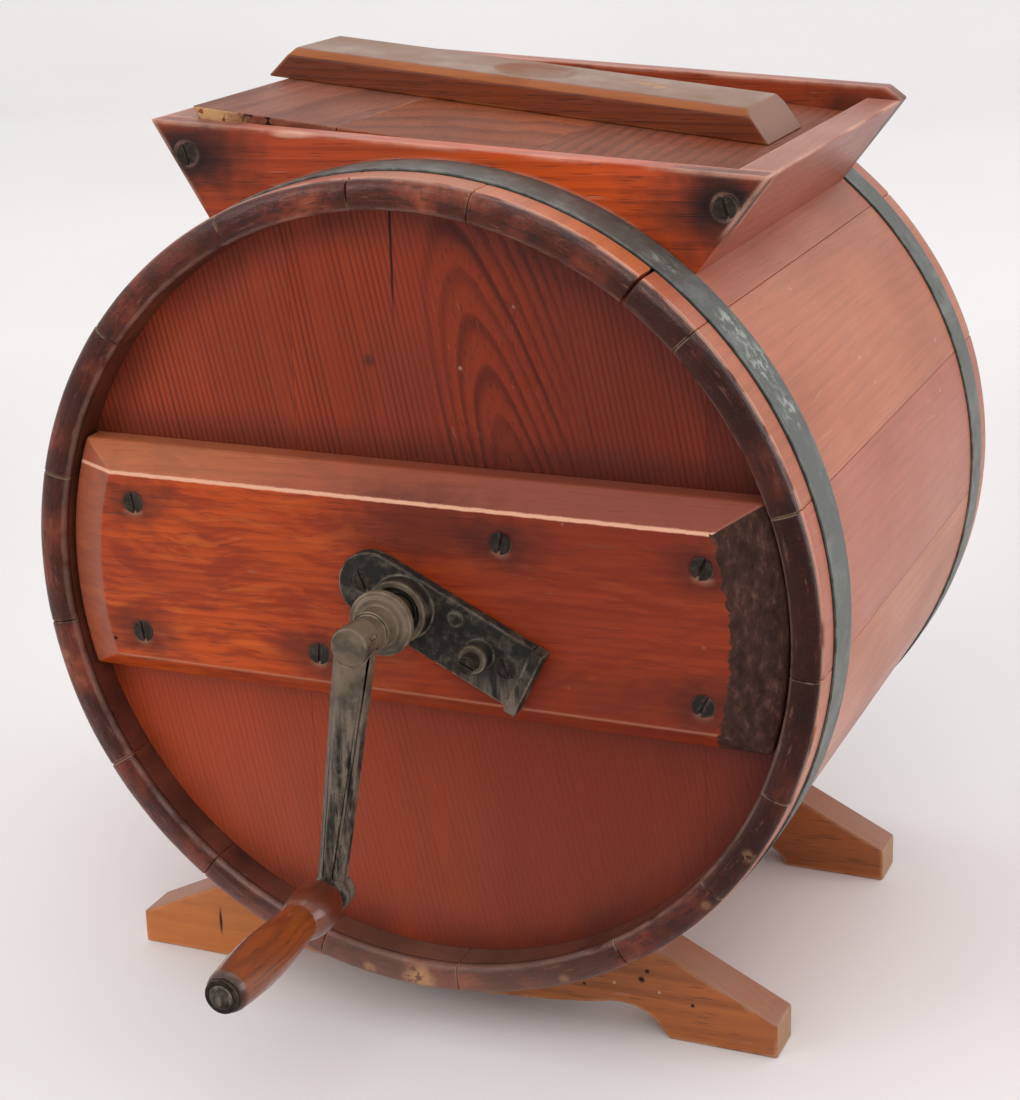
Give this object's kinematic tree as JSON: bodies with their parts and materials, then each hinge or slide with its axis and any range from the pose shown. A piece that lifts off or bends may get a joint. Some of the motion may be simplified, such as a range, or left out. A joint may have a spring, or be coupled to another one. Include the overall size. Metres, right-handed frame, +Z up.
{
  "type": "butter churn",
  "caption": "Table-top butter churn: staved wooden drum on two shaped feet, iron hoops, flared hopper with a lift-off lid and handle bar, and a side crank that turns a paddle dasher.",
  "frame": {"origin": "On the table under the middle of the whole churn, crank and grip included, halfway between its two sides.", "axes": "+Z is up. The crank is on the -Y side, and the drum's axis runs along Y. +X is to the right of a person who faces the crank."},
  "size_m": [0.4023, 0.5095, 0.4654],
  "materials": {
    "stave_wood": "old red-brown varnish over cedar, worn at the edges",
    "head_wood": "red-brown stained softwood, satin, upright grain",
    "batten_wood": "orange-red varnish, glossy, grain along the batten",
    "hopper_wood": "orange-red varnish with dark stains round the screws",
    "lid_wood": "brown varnish, dusty",
    "bar_wood": "bare worn wood, greyish top, pale end grain",
    "foot_wood": "orange-brown softwood with worm holes, dusty on top",
    "grip_wood": "turned hardwood polished by use",
    "dasher_wood": "bare scrubbed wood",
    "hoop_iron": "dark grey-green paint on hoop iron, scratched",
    "cast_iron": "grey-black casting, rusty and worn bright on its edges",
    "screw_iron": "dull oxidised iron"
  },
  "bodies": {
    "churn": {"stave_1": "stave_wood", "stave_2": "stave_wood", "stave_3": "stave_wood", "stave_4": "stave_wood", "stave_5": "stave_wood", "stave_6": "stave_wood", "stave_7": "stave_wood", "stave_8": "stave_wood", "stave_9": "stave_wood", "stave_10": "stave_wood", "stave_11": "stave_wood", "stave_12": "stave_wood", "stave_13": "stave_wood", "stave_14": "stave_wood", "stave_15": "stave_wood", "stave_16": "stave_wood", "stave_stub_front": "stave_wood", "stave_stub_rear": "stave_wood", "front_head_left": "head_wood", "front_head_middle": "head_wood", "front_head_right": "head_wood", "front_hoop": "hoop_iron", "front_batten": "batten_wood", "hopper_front": "hopper_wood", "front_foot": "foot_wood", "rear_head_left": "head_wood", "rear_head_middle": "head_wood", "rear_head_right": "head_wood", "rear_hoop": "hoop_iron", "rear_batten": "batten_wood", "hopper_rear": "hopper_wood", "rear_foot": "foot_wood", "hopper_left": "hopper_wood", "hopper_right": "hopper_wood", "hoop_rivets": "screw_iron", "batten_screws": "screw_iron", "hopper_screws": "screw_iron", "foot_screws": "screw_iron", "bearing_screws": "screw_iron", "set_screw": "screw_iron", "bearing_plate": "cast_iron", "pivot_plate": "cast_iron"},
    "crank": {"crank": "cast_iron", "grip_washer": "screw_iron", "dasher_shaft": "dasher_wood", "dasher_pivot": "cast_iron", "dasher_pins": "dasher_wood", "dasher_paddle_1": "dasher_wood", "dasher_paddle_2": "dasher_wood", "dasher_paddle_3": "dasher_wood", "dasher_paddle_4": "dasher_wood"},
    "grip": {"grip": "grip_wood"},
    "lid": {"lid_left": "lid_wood", "lid_middle": "lid_wood", "lid_right": "lid_wood", "lid_bar": "bar_wood", "lid_screws": "screw_iron"}
  },
  "joints": [
    {"name": "crank_turn", "type": "hinge", "parent": "churn", "child": "crank", "pos_m": [0.005, 0, 0.236], "axis": [0, 1, 0], "continuous": true},
    {"name": "grip_spin", "type": "hinge", "parent": "crank", "child": "grip", "pos_m": [-0.01399, -0.2, 0.11043], "axis": [0, 1, 0], "continuous": true},
    {"name": "lid_lift", "type": "slide", "parent": "churn", "child": "lid", "axis": [0, 0, 1], "range_m": [0, 0.12]}
  ]
}
